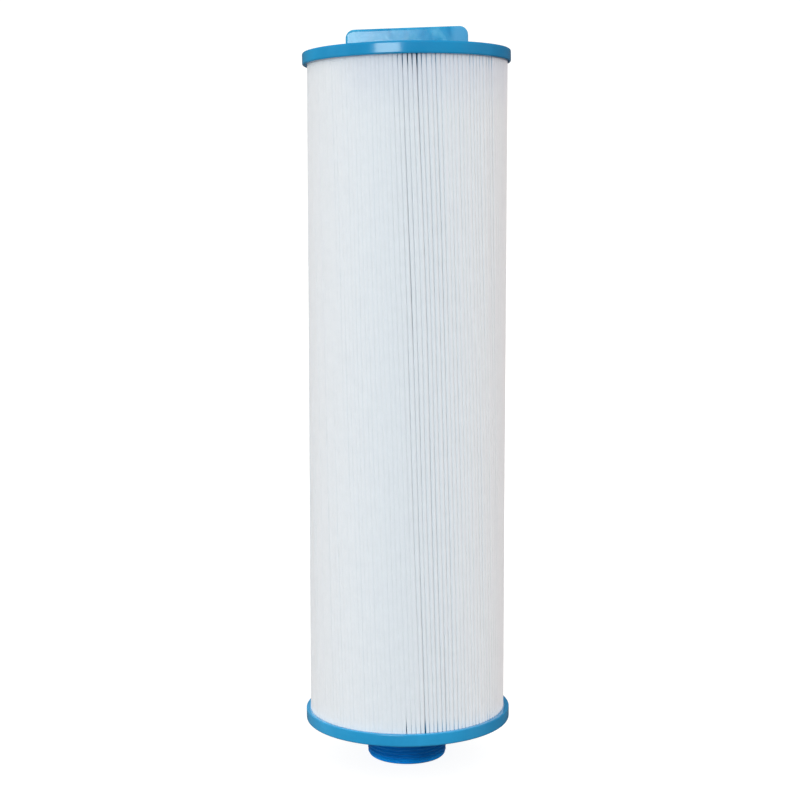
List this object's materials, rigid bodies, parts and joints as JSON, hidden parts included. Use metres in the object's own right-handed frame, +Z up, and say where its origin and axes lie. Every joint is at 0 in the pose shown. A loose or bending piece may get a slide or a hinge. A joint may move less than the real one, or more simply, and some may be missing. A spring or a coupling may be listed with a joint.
{
  "type": "spa filter cartridge",
  "caption": "Pleated polyester spa filter cartridge on a slotted core, with cast end caps, a lifting bar on the closed top and a male pipe thread under the open bottom.",
  "frame": {"origin": "centre of the thread's end face, which the cartridge stands on", "axes": "+Z up along the cartridge's axis from the thread to the lifting bar; +X along the lifting bar; +Y across it"},
  "size_m": [0.124, 0.124, 0.4424],
  "materials": {
    "cast_polyurethane": "glossy cast polyurethane, light blue",
    "adapter_plastic": "satin injection-moulded ABS, dark blue",
    "core_plastic": "satin injection-moulded ABS, white",
    "spunbond_media": "matt spunbond polyester, white",
    "seam_adhesive": "cloudy hot-melt adhesive"
  },
  "bodies": {
    "root": {"bottom_end_cap": "cast_polyurethane", "threaded_adapter": "adapter_plastic", "core_module_1": "core_plastic", "core_module_2": "core_plastic", "core_module_3": "core_plastic", "core_module_4": "core_plastic", "core_plug": "core_plastic", "pleated_media": "spunbond_media", "seam_strip": "seam_adhesive", "top_end_cap": "cast_polyurethane"}
  },
  "joints": []
}
